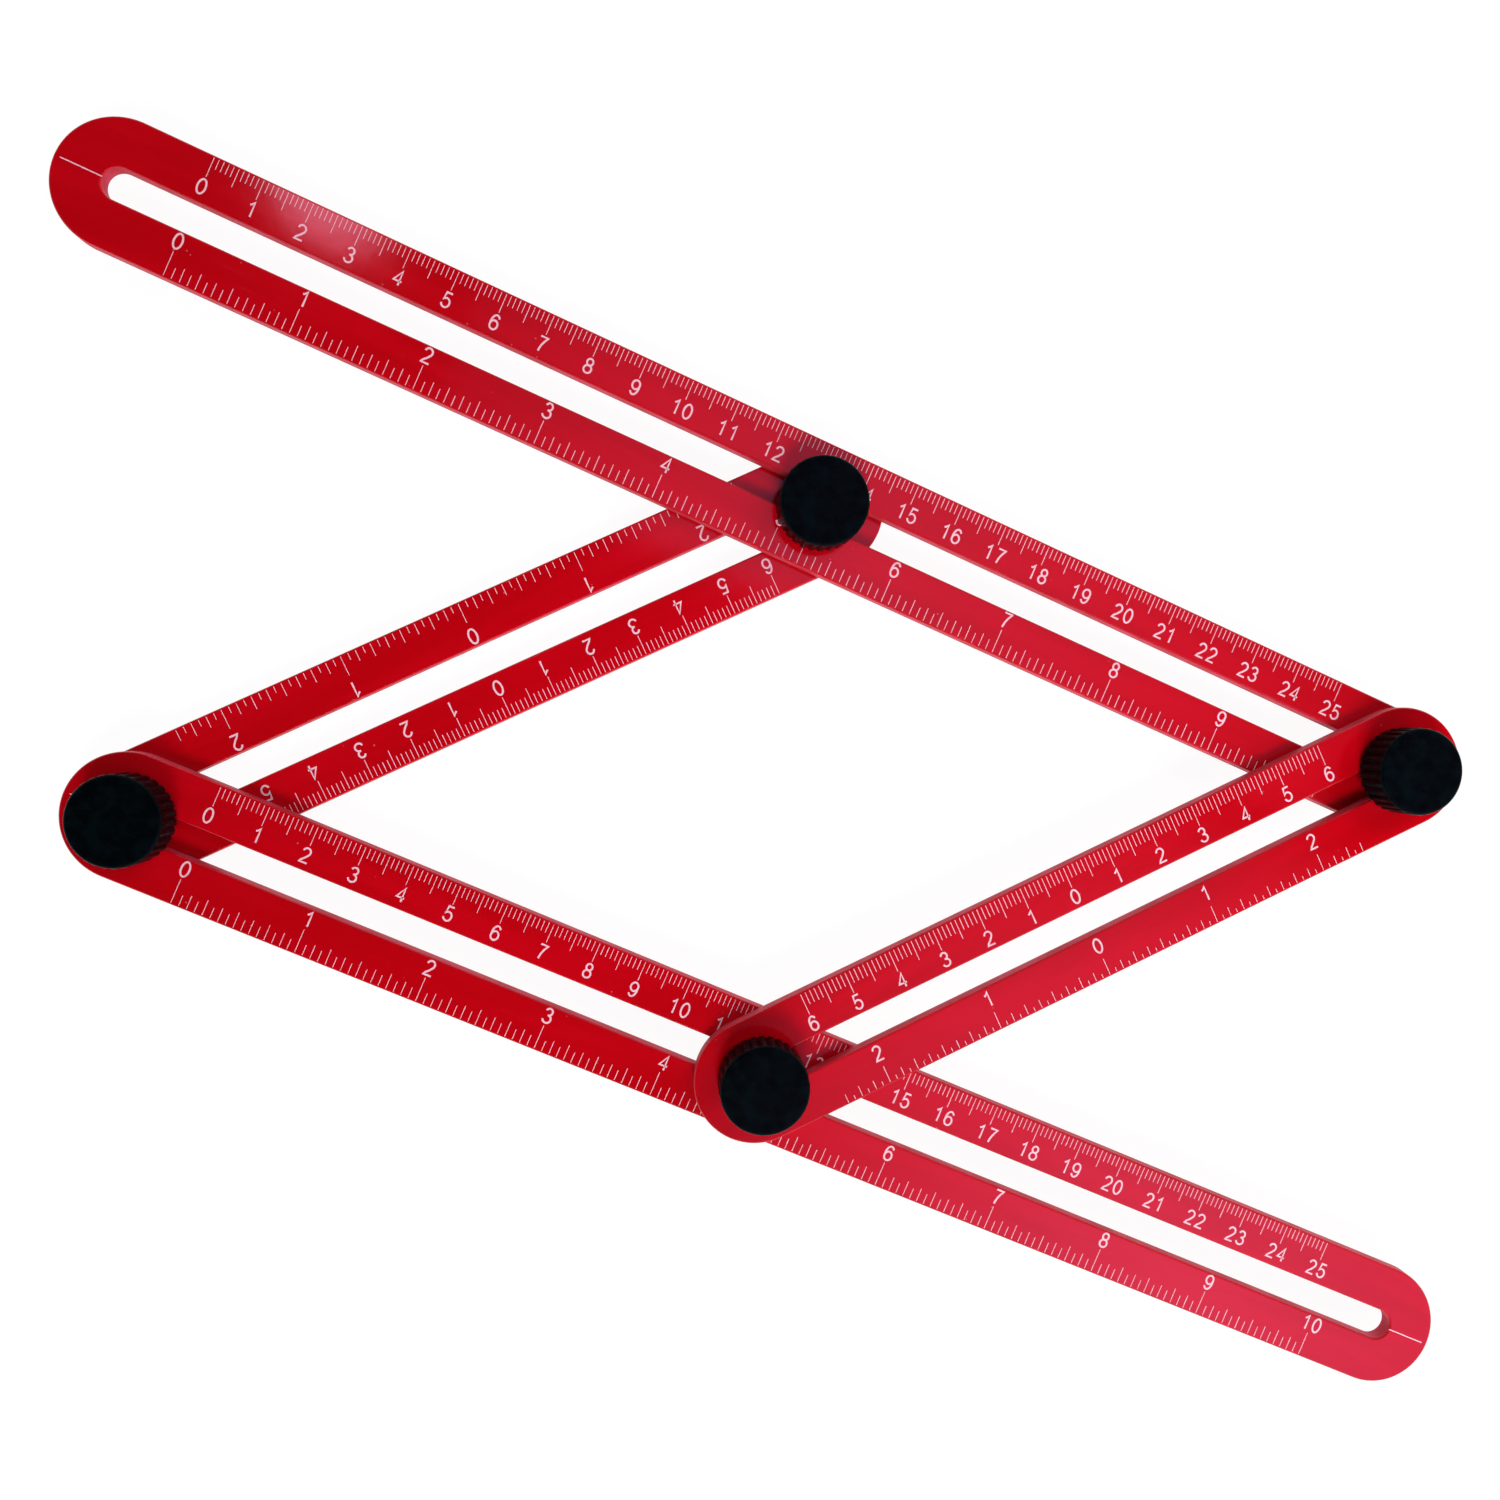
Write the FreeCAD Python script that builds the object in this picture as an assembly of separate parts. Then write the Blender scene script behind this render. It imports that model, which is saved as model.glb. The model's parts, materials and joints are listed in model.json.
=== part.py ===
import FreeCAD, Part
import math
import os
from FreeCAD import Vector

# A folding ruler for taking off and copying angles. Four slotted rulers lie in three layers
# and cross at four clamping bolts, so they form a parallelogram whose corners pivot and slide.
# The origin lies on the table under the middle of the parallelogram. X runs along the long
# rulers, Y from the front one to the rear one, and Z up. All sizes are millimetres and degrees.

# The rulers
ruler_width = 25.4
ruler_thickness = 3.2
long_ruler_pitch = 282.1    # from the centre of one round end to the centre of the other
short_ruler_pitch = 151.0
slot_width = 6.3
edge_bevel = 0.35

# How the rulers are set
long_bolt_spacing = 134.2   # between the two bolts on each long ruler
short_bolt_spacing = 148.6  # between the two bolts on each short ruler
fold_angle = 48.3           # from the long rulers to the short ones
stop_clearance = 0.1        # left at the end of a long ruler's slot by a bolt's square neck

# The bolts
head_diameter = 12.0
head_height = 1.6
head_lean = 0.8             # how far its side leans in towards the underside
neck_width = 5.0
neck_bevel = 0.3
neck_recess = 0.3           # from the top of the neck up to the face of its ruler
shank_diameter = 4.9

# The washers
washer_diameter = 12.0
washer_thickness = 1.0
washer_clearance = 0.08     # between the hole and the shank

# The threaded inserts
insert_diameter = 6.8
insert_length = 4.4
insert_knurl_count = 12
insert_knurl_depth = 0.25
thread_clearance = 0.05
thread_shortfall = 0.4      # the bolt's tip stops this far below the top of the insert

# The knobs
knob_diameter = 18.0
knob_height = 7.5           # from the ruler under the knob to the flat top
crown_bevel = 0.6
skirt_gap = 0.3             # from the ruler up to the rim of the knob
knob_wall = 1.4
roof_thickness = 1.5
rib_count = 30
rib_depth = 0.4
boss_diameter = 9.6
insert_fit = 0.02           # between the insert and the bore of the boss
insert_headroom = 0.3       # above the insert in that bore
web_count = 4
web_thickness = 0.9
web_gap = 0.4               # from the washer up to the webs

# A square neck can't reach the centre of a slot's round end, so the bolt that stands at the
# end of each long ruler's slot stays this far short of that centre.
half_neck = neck_width / 2
end_inset = half_neck - math.sqrt((slot_width / 2) ** 2 - half_neck ** 2) + stop_clearance

# Heights of the three layers of rulers
lower_layer = head_height
middle_layer = lower_layer + ruler_thickness
upper_layer = middle_layer + ruler_thickness

# The corners of the parallelogram
long_side = Vector(long_bolt_spacing, 0, 0)
short_side = Vector(short_bolt_spacing, 0, 0)
short_side = FreeCAD.Rotation(Vector(0, 0, 1), fold_angle).multVec(short_side)
corners = {
    "front_left": (long_side + short_side) * -0.5,
    "front_right": (long_side - short_side) * 0.5,
    "rear_left": (short_side - long_side) * 0.5,
    "rear_right": (long_side + short_side) * 0.5,
}


def placed(shape, position, height, angle=0.0):
    # A copy of a shape that was built round the origin, turned about Z and then moved.
    turned = shape.copy()
    spot = Vector(position.x, position.y, height)
    turned.Placement = FreeCAD.Placement(spot, FreeCAD.Rotation(Vector(0, 0, 1), angle))
    return turned


def level_edges(shape):
    # The edges that lie in a horizontal plane.
    return [edge for edge in shape.Edges if edge.BoundBox.ZLength < 0.001]


def round_ended_slab(pitch, width):
    # One ruler's thickness of a strip with round ends, pitch long between their centres.
    half = pitch / 2
    radius = width / 2
    outline = [
        Part.LineSegment(Vector(-half, -radius, 0), Vector(half, -radius, 0)),
        Part.Arc(Vector(half, -radius, 0), Vector(half + radius, 0, 0), Vector(half, radius, 0)),
        Part.LineSegment(Vector(half, radius, 0), Vector(-half, radius, 0)),
        Part.Arc(Vector(-half, radius, 0), Vector(-half - radius, 0, 0), Vector(-half, -radius, 0)),
    ]
    wire = Part.Wire([curve.toShape() for curve in outline])
    return Part.Face(wire).extrude(Vector(0, 0, ruler_thickness))


def slotted_ruler(pitch):
    # The slot's round ends share their centres with those of the ruler.
    ruler = round_ended_slab(pitch, ruler_width).cut(round_ended_slab(pitch, slot_width))
    return ruler.makeChamfer(edge_bevel, level_edges(ruler))


def ring_of_corners(radii, count, height=0.0):
    # A closed ring of count repeats, each with one corner at every one of the radii in turn.
    # The first corner of the ring is on the X axis.
    step = 2 * math.pi / (count * len(radii))
    ring = []
    for corner in range(count * len(radii)):
        radius = radii[corner % len(radii)]
        turn = corner * step
        ring.append(Vector(radius * math.cos(turn), radius * math.sin(turn), height))
    return ring + ring[:1]


def knurled_bar(diameter, depth, count, height):
    # A bar with flat ribs, each a third of the pitch wide, and V-shaped grooves between them.
    # One of the grooves is on the X axis.
    radius = diameter / 2
    ring = ring_of_corners([radius - depth, radius, radius], count)
    return Part.Face(Part.makePolygon(ring)).extrude(Vector(0, 0, height))


def faceted_crown(diameter, height, bevel, count):
    # A bar with count flat sides that lean in at the top by the bevel. It trims the ends of
    # the knob's ribs, one side to each rib.
    flat_to_corner = 1 / math.cos(math.pi / count)
    levels = [(diameter / 2, 0), (diameter / 2, height - bevel), (diameter / 2 - bevel, height)]
    rings = [ring_of_corners([radius * flat_to_corner], count, level) for radius, level in levels]
    faces = [Part.Face(Part.makePolygon(ring)) for ring in (rings[0], rings[-1])]
    for lower, upper in zip(rings, rings[1:]):
        for side in range(count):
            outline = [lower[side], lower[side + 1], upper[side + 1], upper[side], lower[side]]
            faces.append(Part.Face(Part.makePolygon(outline)))
    return Part.Solid(Part.Shell(faces))


def upright_cylinder(radius, low, high):
    return Part.makeCylinder(radius, high - low, Vector(0, 0, low))


def moulded_webs(low, high, reach):
    # Thin walls in a star round the boss, which tie it to the knob's outer wall.
    webs = []
    for web in range(web_count):
        wall = Part.makeBox(reach, web_thickness, high - low, Vector(0, -web_thickness / 2, low))
        wall.rotate(Vector(0, 0, 0), Vector(0, 0, 1), web * 360 / web_count)
        webs.append(wall)
    return webs


def clamping_knob():
    # Heights are from the ruler under the knob. The knob is a ribbed cup, upside down, whose
    # boss holds the insert and bears on the washer.
    body_height = knob_height - skirt_gap
    ribbed = knurled_bar(knob_diameter, rib_depth, rib_count, body_height)
    body = ribbed.common(faceted_crown(knob_diameter, body_height, crown_bevel, rib_count))
    body.translate(Vector(0, 0, skirt_gap))

    roof_underside = knob_height - roof_thickness
    inner_radius = knob_diameter / 2 - knob_wall
    hollow = upright_cylinder(inner_radius, skirt_gap, roof_underside)
    boss = upright_cylinder(boss_diameter / 2, washer_thickness, roof_underside)
    webs = moulded_webs(washer_thickness + web_gap, roof_underside, inner_radius)
    hollow = hollow.cut(boss.multiFuse(webs))

    bore_top = washer_thickness + insert_length + insert_headroom
    bore = upright_cylinder(insert_diameter / 2 + insert_fit, washer_thickness, bore_top)
    return body.cut(hollow).cut(bore)


def threaded_insert():
    # A sleeve with a straight knurl, which keeps it from turning in the plastic.
    sleeve = knurled_bar(insert_diameter, insert_knurl_depth, insert_knurl_count, insert_length)
    return sleeve.cut(upright_cylinder(shank_diameter / 2 + thread_clearance, 0, insert_length))


def clamping_bolt():
    # Heights are from the underside of the lower ruler of the crossing. The head lies below it,
    # the neck in its slot, and the shank goes on up through the upper ruler and the washer.
    rim_radius = head_diameter / 2
    head_foot = Vector(0, 0, -head_height)
    head = Part.makeCone(rim_radius - head_lean, rim_radius, head_height, head_foot)

    neck_height = ruler_thickness - neck_recess
    neck = Part.makeBox(neck_width, neck_width, neck_height, Vector(-half_neck, -half_neck, 0))
    upright = [edge for edge in neck.Edges if edge.BoundBox.ZLength > neck_height / 2]
    neck = neck.makeChamfer(neck_bevel, upright)

    shank_length = 2 * ruler_thickness + washer_thickness + insert_length - thread_shortfall
    shank = upright_cylinder(shank_diameter / 2, 0, shank_length)
    return head.multiFuse([neck, shank]).removeSplitter()


def flat_washer():
    disc = upright_cylinder(washer_diameter / 2, 0, washer_thickness)
    hole = upright_cylinder(shank_diameter / 2 + washer_clearance, 0, washer_thickness)
    return disc.cut(hole)


def ruler_nodes():
    # The front ruler's slot starts at the front left bolt, and the rear ruler's slot ends at
    # the rear right one. The short rulers span the corners on their own side.
    long_ruler = slotted_ruler(long_ruler_pitch)
    short_ruler = slotted_ruler(short_ruler_pitch)
    to_middle = Vector(long_ruler_pitch / 2 - end_inset, 0, 0)
    left_middle = (corners["front_left"] + corners["rear_left"]) * 0.5
    right_middle = (corners["front_right"] + corners["rear_right"]) * 0.5
    return {
        "front_long_ruler": placed(long_ruler, corners["front_left"] + to_middle, middle_layer),
        "rear_long_ruler": placed(long_ruler, corners["rear_right"] - to_middle, middle_layer),
        "lower_short_ruler": placed(short_ruler, left_middle, lower_layer, fold_angle),
        "upper_short_ruler": placed(short_ruler, right_middle, upper_layer, fold_angle),
    }


def clamp_nodes():
    # The left clamps hold the lower short ruler under a long one. The right clamps hold a long
    # ruler under the upper short one. Each bolt's neck is square to the ruler that it runs in.
    bolt = clamping_bolt()
    washer = flat_washer()
    insert = threaded_insert()
    knob = clamping_knob()
    nodes = {}
    for corner, position in corners.items():
        left = corner.endswith("left")
        underside = lower_layer if left else middle_layer
        top = underside + 2 * ruler_thickness
        neck_angle = fold_angle if left else 0.0
        nodes[corner + "_bolt"] = placed(bolt, position, underside, neck_angle)
        nodes[corner + "_washer"] = placed(washer, position, top)
        nodes[corner + "_insert"] = placed(insert, position, top + washer_thickness)
        nodes[corner + "_knob"] = placed(knob, position, top)
    return nodes


os.makedirs("parts", exist_ok=True)
pieces = ruler_nodes()
pieces.update(clamp_nodes())
for name, piece in pieces.items():
    if not piece.isValid() or len(piece.Solids) != 1:
        raise ValueError(name + " is not one sound solid")
    piece.exportStep("parts/" + name + ".step")
    print(name, round(piece.Volume, 2), "mm3")
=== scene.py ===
import json
import math
import bpy
import bmesh
from mathutils import Matrix, Vector


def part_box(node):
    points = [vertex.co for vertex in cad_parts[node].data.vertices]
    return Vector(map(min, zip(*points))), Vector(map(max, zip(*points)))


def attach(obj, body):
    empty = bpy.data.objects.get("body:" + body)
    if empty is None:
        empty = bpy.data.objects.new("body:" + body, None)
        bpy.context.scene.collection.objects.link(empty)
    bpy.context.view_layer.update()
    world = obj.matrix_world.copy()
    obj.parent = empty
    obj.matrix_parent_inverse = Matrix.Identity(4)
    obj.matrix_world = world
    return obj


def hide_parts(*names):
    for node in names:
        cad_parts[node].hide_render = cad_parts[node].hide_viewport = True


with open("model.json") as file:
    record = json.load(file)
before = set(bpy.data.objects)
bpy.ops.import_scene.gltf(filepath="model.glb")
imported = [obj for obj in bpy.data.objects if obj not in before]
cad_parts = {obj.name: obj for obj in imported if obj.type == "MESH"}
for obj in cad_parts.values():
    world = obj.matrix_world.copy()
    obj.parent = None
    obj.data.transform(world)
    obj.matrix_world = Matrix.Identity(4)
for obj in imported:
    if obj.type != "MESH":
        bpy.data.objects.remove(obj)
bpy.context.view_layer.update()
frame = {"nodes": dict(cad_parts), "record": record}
bodies = frame["record"]["behaviour"]["bodies"]
bodyOf = {node: body for body, nodes in bodies.items() for node in nodes}
corners = ('front_left', 'front_right', 'rear_left', 'rear_right')
mm = 0.001


class Wire:
    # one output socket; sums written on it become Math nodes
    def __init__(self, graph, node, output=0):
        self.graph = graph
        self.node = node
        self.socket = node.outputs[output] if len(node.outputs) else None

    def out(self, output):
        return Wire(self.graph, self.node, output)

    def maths(self, operation, first, second=0.5):
        return self.graph.add('ShaderNodeMath', {'operation': operation}, {0: first, 1: second})

    def __add__(self, other):
        return self.maths('ADD', self, other)

    __radd__ = __add__

    def __mul__(self, other):
        return self.maths('MULTIPLY', self, other)

    __rmul__ = __mul__

    def __sub__(self, other):
        return self.maths('SUBTRACT', self, other)

    def __rsub__(self, other):
        return self.maths('SUBTRACT', other, self)

    def __truediv__(self, other):
        return self.maths('DIVIDE', self, other)

    def __rtruediv__(self, other):
        return self.maths('DIVIDE', other, self)

    def __mod__(self, other):
        return self.maths('FLOORED_MODULO', self, other)

    def __pow__(self, other):
        return self.maths('POWER', self, other)

    def __abs__(self):
        return self.maths('ABSOLUTE', self)

    def __lt__(self, other):
        return self.maths('LESS_THAN', self, other)

    def __gt__(self, other):
        return self.maths('GREATER_THAN', self, other)


class Graph:
    # adds nodes to a tree: their settings first, then values or wires for their sockets
    def __init__(self, tree):
        self.tree = tree

    def add(self, kind, settings=None, sockets=None, output=0):
        node = self.tree.nodes.new(kind)
        for key, value in (settings or {}).items():
            setattr(node, key, value)
        for key, value in (sockets or {}).items():
            if isinstance(value, Wire):
                self.tree.links.new(value.socket, node.inputs[key])
            else:
                node.inputs[key].default_value = value
        return Wire(self, node, output)

    def vector(self, x, y, z):
        return self.add('ShaderNodeCombineXYZ', {}, {0: x, 1: y, 2: z})

    def part(self, vector, axis):
        return self.add('ShaderNodeSeparateXYZ', {}, {0: vector}, axis)

    def sine(self, angle):
        return self.add('ShaderNodeMath', {'operation': 'SINE'}, {0: angle})

    def cosine(self, angle):
        return self.add('ShaderNodeMath', {'operation': 'COSINE'}, {0: angle})

    # for materials

    def objectPlace(self):
        return self.add('ShaderNodeTexCoord', {}, {}, 3)

    def kept(self, name, output):
        # an attribute of the mesh: output 1 gives it as a vector, output 2 as a number
        return self.add('ShaderNodeAttribute', {'attribute_name': name}, {}, output)

    def ease(self, value, low, high):
        # from 0 at low to 1 at high
        sockets = {'Value': value, 'From Min': low, 'From Max': high}
        return self.add('ShaderNodeMapRange', {'interpolation_type': 'SMOOTHSTEP'}, sockets)

    def blend(self, factor, first, second):
        return self.add('ShaderNodeMix', {'data_type': 'RGBA'}, {0: factor, 6: first, 7: second}, 2)

    def noise(self, vector, scale, detail, roughness):
        sockets = {'Vector': vector, 'Scale': scale, 'Detail': detail, 'Roughness': roughness}
        return self.add('ShaderNodeTexNoise', {}, sockets)

    def streaks(self, vector, scale, turn, detail, roughness):
        # noise drawn out in one direction: a scale for each axis, turned about Z
        sockets = {'Vector': vector, 'Rotation': (0, 0, turn), 'Scale': scale}
        drawn = self.add('ShaderNodeMapping', {}, sockets)
        return self.noise(drawn, 1.0, detail, roughness)

    def cells(self, vector, scale):
        sockets = {'Vector': vector, 'Scale': scale}
        return self.add('ShaderNodeTexVoronoi', {'feature': 'F1'}, sockets)

    def bump(self, height, distance, strength):
        sockets = {'Height': height, 'Distance': distance, 'Strength': strength}
        return self.add('ShaderNodeBump', {}, sockets)

    # for shapes

    def index(self):
        return self.add('GeometryNodeInputIndex') + 0.0

    def position(self):
        return self.add('GeometryNodeInputPosition')

    def move(self, mesh, spots):
        return self.add('GeometryNodeSetPosition', {}, {0: mesh, 'Position': spots})

    def keep(self, mesh, name, kind, value):
        settings = {'data_type': kind, 'domain': 'POINT'}
        sockets = {0: mesh, 'Name': name, 'Value': value}
        return self.add('GeometryNodeStoreNamedAttribute', settings, sockets)

    def put(self, mesh, given):
        sockets = {0: mesh, 'Translation': given['Middle'], 'Rotation': given['Turn']}
        return self.add('GeometryNodeTransform', {}, sockets)

    def blocks(self, count, spots, scale, turn=(0, 0, 0)):
        # that many blocks, each on its own spot
        row = self.add('GeometryNodeMeshLine', {'mode': 'OFFSET'}, {'Count': count})
        block = self.add('GeometryNodeMeshCube', {}, {'Size': (1, 1, 1)})
        sockets = {'Points': self.move(row, spots), 'Instance': block, 'Scale': scale,
                   'Rotation': turn}
        return self.add('GeometryNodeInstanceOnPoints', {}, sockets)


def newMaterial(name):
    material = bpy.data.materials.new(name)
    material.use_nodes = True
    material.node_tree.nodes.clear()
    return material, Graph(material.node_tree)


def finishMaterial(graph, values):
    shader = graph.add('ShaderNodeBsdfPrincipled', {}, values)
    graph.add('ShaderNodeOutputMaterial', {}, {'Surface': shader})


# Materials. A noise is given by its scale, detail and roughness, streaks by the scale along each
# axis, their turn, detail and roughness, and a bump by its distance and strength.

# glossy red plastic of the rulers; 'along' holds a ruler's own length, width and height, and
# 'across' runs from edge to edge of the bar that it is swept from
redPlastic = {
    'deep': (0.40, 0.0003, 0.0036, 1),
    'fresh': (0.46, 0.0006, 0.0056, 1),
    'rubbed': (0.50, 0.005, 0.014, 1),
    'dusty': (0.50, 0.16, 0.17, 1),
    'roughness': 0.07, 'ior': 1.5, 'bump': (0.012 * mm, 0.8),
    'flow': ((14, 120, 60), 0.0, 4.0, 0.6),
    'rubs': ((45, 2400, 900), 0.03, 3.0, 0.7),
    'crossRubs': ((1900, 70, 900), 0.45, 2.0, 0.6),
    'clouds': (55.0, 3.0, 0.5),
    'peel': (420.0, 2.0, 0.5),
    'grain': (5200.0, 2.0, 0.7),
    'specks': 310.0,
    'speckSize': (0.075, 0.045),
    'wornEdge': (0.955, 0.995),
}


def makeRedPlastic():
    red = redPlastic
    material, graph = newMaterial('redPlastic')
    along = graph.kept('along', 1)
    across = abs(graph.kept('across', 2))
    flow = graph.streaks(along, *red['flow'])
    clouds = graph.noise(along, *red['clouds'])
    rubs = graph.streaks(along, *red['rubs'])
    crossRubs = graph.streaks(along, *red['crossRubs'])
    streaks = graph.ease(rubs, 0.62, 0.78) * graph.ease(clouds, 0.45, 0.65)
    scuffs = graph.ease(crossRubs, 0.68, 0.82) * graph.ease(clouds, 0.55, 0.42)
    specks = graph.cells(along, red['specks'])
    dust = graph.ease(specks, *red['speckSize']) * graph.ease(clouds, 0.5, 0.6)
    worn = graph.ease(across, *red['wornEdge']) * graph.ease(flow, 0.42, 0.62)
    mixed = graph.blend(graph.ease(flow, 0.35, 0.65), red['deep'], red['fresh'])
    mixed = graph.blend(0.30 * streaks + 0.25 * scuffs + 0.55 * worn, mixed, red['rubbed'])
    mixed = graph.blend(0.35 * dust, mixed, red['dusty'])
    peel = graph.noise(along, *red['peel'])
    grain = graph.noise(along, *red['grain'])
    height = 0.75 * peel + 0.10 * grain - 0.35 * streaks - 0.3 * scuffs + 0.25 * dust
    rough = red['roughness'] + 0.05 * clouds + 0.16 * streaks + 0.14 * scuffs
    finishMaterial(graph, {
        'Base Color': mixed, 'Roughness': rough + 0.3 * dust + 0.12 * worn, 'IOR': red['ior'],
        'Normal': graph.bump(height, *red['bump']),
    })
    return material


# the same plastic where the rulers are sawn, dull; its paler pink colour is a painted reflection of
# the bright floor on the side walls
sawnRedPaintedReflection = {
    # paler and pinker than the tops: a painted reflection of the bright floor
    'deep': (0.43, 0.024, 0.046, 1),
    'pale': (0.50, 0.050, 0.085, 1),
    'roughness': 0.45, 'gloss': 0.1, 'bump': (0.01 * mm, 0.6),
    'lines': ((900, 900, 12000), 0.0, 2.0, 0.6),
    'clouds': (160.0, 3.0, 0.5),
}


def makeSawnRed():
    material, graph = newMaterial('sawnRedPaintedReflection')
    along = graph.kept('along', 1)
    lines = graph.streaks(along, *sawnRedPaintedReflection['lines'])
    clouds = graph.ease(graph.noise(along, *sawnRedPaintedReflection['clouds']), 0.35, 0.65)
    finishMaterial(graph, {
        'Base Color': graph.blend(clouds, sawnRedPaintedReflection['deep'], sawnRedPaintedReflection['pale']),
        'Roughness': sawnRedPaintedReflection['roughness'] + 0.2 * lines,
        'Specular IOR Level': sawnRedPaintedReflection['gloss'],
        'Normal': graph.bump(lines, *sawnRedPaintedReflection['bump']),
    })
    return material


# white screen ink of the scales
whiteInk = {
    'clean': (0.74, 0.47, 0.53, 1),
    'thin': (0.64, 0.24, 0.29, 1),
    'roughness': 0.42, 'bump': (0.006 * mm, 0.6),
    'patches': (240.0, 4.0, 0.65),
    'pinholes': (3800.0, 2.0, 0.6),
}


def makeWhiteInk():
    material, graph = newMaterial('whiteInk')
    place = graph.objectPlace()
    patches = graph.noise(place, *whiteInk['patches'])
    pinholes = graph.noise(place, *whiteInk['pinholes'])
    thin = graph.ease(patches, 0.56, 0.74) * 0.55 + graph.ease(pinholes, 0.66, 0.76) * 0.4
    finishMaterial(graph, {
        'Base Color': graph.blend(thin, whiteInk['clean'], whiteInk['thin']),
        'Roughness': whiteInk['roughness'] + 0.15 * patches,
        'Normal': graph.bump(pinholes, *whiteInk['bump']),
    })
    return material


# black knob plastic; 'along' is measured from the knob's own axis, 'crest' tops the ribs, whose
# crests are painted lighter: partly wear, partly a painted highlight
blackPlastic = {
    'deep': (0.0004, 0.0009, 0.0014, 1),
    'bloom': (0.0010, 0.0042, 0.0058, 1),
    # rubbed: the colour of scuffs, and on the rib crests also a painted highlight
    'rubbed': (0.022, 0.027, 0.029, 1),
    'roughness': 0.24, 'gloss': 0.05, 'bump': (0.012 * mm, 0.55),
    'clouds': (260.0, 5.0, 0.65),
    'fine': (1500.0, 3.0, 0.6),
    'grain': (6400.0, 2.0, 0.7),
    'scuffs': ((2600, 160, 400), 0.6, 3.0, 0.6),
    'ribWearAndHighlight': (0.8, 1.0),
}


def makeBlackPlastic():
    black = blackPlastic
    material, graph = newMaterial('blackPlastic')
    along = graph.kept('along', 1)
    crest = graph.kept('crest', 2)
    clouds = graph.noise(along, *black['clouds'])
    fine = graph.noise(along, *black['fine'])
    grain = graph.noise(along, *black['grain'])
    scuffs = graph.streaks(along, *black['scuffs'])
    marks = graph.ease(scuffs, 0.66, 0.8) * graph.ease(clouds, 0.45, 0.6)
    bloom = graph.ease(clouds, 0.38, 0.66) * 0.6 + graph.ease(fine, 0.5, 0.7) * 0.25
    # the rib crests take the rubbed colour: wear, and a painted highlight that brings out the ribs
    worn = graph.ease(crest, *black['ribWearAndHighlight']) * graph.ease(fine, 0.45, 0.6)
    mixed = graph.blend(bloom, black['deep'], black['bloom'])
    mixed = graph.blend(0.45 * marks + 0.4 * worn, mixed, black['rubbed'])
    height = 0.8 * grain + 0.5 * fine - 0.4 * marks
    finishMaterial(graph, {
        'Base Color': mixed, 'Specular IOR Level': black['gloss'],
        'Roughness': black['roughness'] + 0.16 * clouds - 0.10 * marks - 0.12 * worn,
        'Normal': graph.bump(height, *black['bump']),
    })
    return material


# bright zinc plate of bolts and washers
platedSteel = {
    'bright': (0.60, 0.61, 0.63, 1),
    'dull': (0.38, 0.39, 0.40, 1),
    'roughness': 0.24, 'bump': (0.008 * mm, 0.6),
    'clouds': (420.0, 4.0, 0.6),
    'drag': ((300, 4200, 900), 0.7, 3.0, 0.7),
    'spangle': 900.0,
}


def makePlatedSteel():
    steel = platedSteel
    material, graph = newMaterial('platedSteel')
    place = graph.objectPlace()
    clouds = graph.noise(place, *steel['clouds'])
    spangle = graph.cells(place, steel['spangle'])
    drag = graph.streaks(place, *steel['drag'])
    dull = graph.ease(clouds, 0.42, 0.66) * 0.7 + graph.ease(drag, 0.55, 0.75) * 0.3
    finishMaterial(graph, {
        'Base Color': graph.blend(dull, steel['bright'], steel['dull']),
        'Metallic': 1.0,
        'Roughness': steel['roughness'] + 0.2 * dull + 0.05 * spangle,
        'Normal': graph.bump(drag + 0.4 * spangle, *steel['bump']),
    })
    return material


# turned brass of the threaded inserts
turnedBrass = {
    'bright': (0.80, 0.56, 0.23, 1),
    'tarnish': (0.34, 0.20, 0.08, 1),
    'roughness': 0.26, 'bump': (0.01 * mm, 0.6),
    'clouds': (520.0, 5.0, 0.6),
    'rings': ((300, 300, 9000), 0.0, 2.0, 0.6),
}


def makeTurnedBrass():
    brass = turnedBrass
    material, graph = newMaterial('turnedBrass')
    place = graph.objectPlace()
    tarnish = graph.ease(graph.noise(place, *brass['clouds']), 0.48, 0.72)
    finishMaterial(graph, {
        'Base Color': graph.blend(tarnish, brass['bright'], brass['tarnish']),
        'Metallic': 1.0,
        'Roughness': brass['roughness'] + 0.25 * tarnish,
        'Normal': graph.bump(graph.streaks(place, *brass['rings']), *brass['bump']),
    })
    return material


materials = {
    'red': makeRedPlastic(),
    'sawnPaintedReflection': makeSawnRed(),
    'ink': makeWhiteInk(),
    'black': makeBlackPlastic(),
    'steel': makePlatedSteel(),
    'brass': makeTurnedBrass(),
}
print('materials ready')


def addObject(name, data):
    made = bpy.data.objects.new(name, data)
    bpy.context.scene.collection.objects.link(made)
    return made


def meshFrom(work, name):
    mesh = bpy.data.meshes.new(name)
    work.to_mesh(mesh)
    work.free()
    return mesh


def faceOutwards(mesh):
    work = bmesh.new()
    work.from_mesh(mesh)
    bmesh.ops.recalc_face_normals(work, faces=work.faces)
    work.to_mesh(mesh)
    work.free()


def settle(piece, body, node=None):
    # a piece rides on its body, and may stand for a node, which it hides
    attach(piece, body)
    if node:
        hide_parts(node)


def newTree(name, inputs):
    # a tree with these inputs, which come back as wires by their names
    tree = bpy.data.node_groups.new(name, 'GeometryNodeTree')
    tree.is_modifier = True
    for label, kind in [('Geometry', 'Geometry')] + inputs + [('Material', 'Material')]:
        tree.interface.new_socket(label, in_out='INPUT', socket_type='NodeSocket' + kind)
    tree.interface.new_socket('Geometry', in_out='OUTPUT', socket_type='NodeSocketGeometry')
    graph = Graph(tree)
    start = graph.add('NodeGroupInput')
    labels = [socket.name for socket in start.node.outputs if socket.name]
    return graph, {label: start.out(label) for label in labels}


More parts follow.
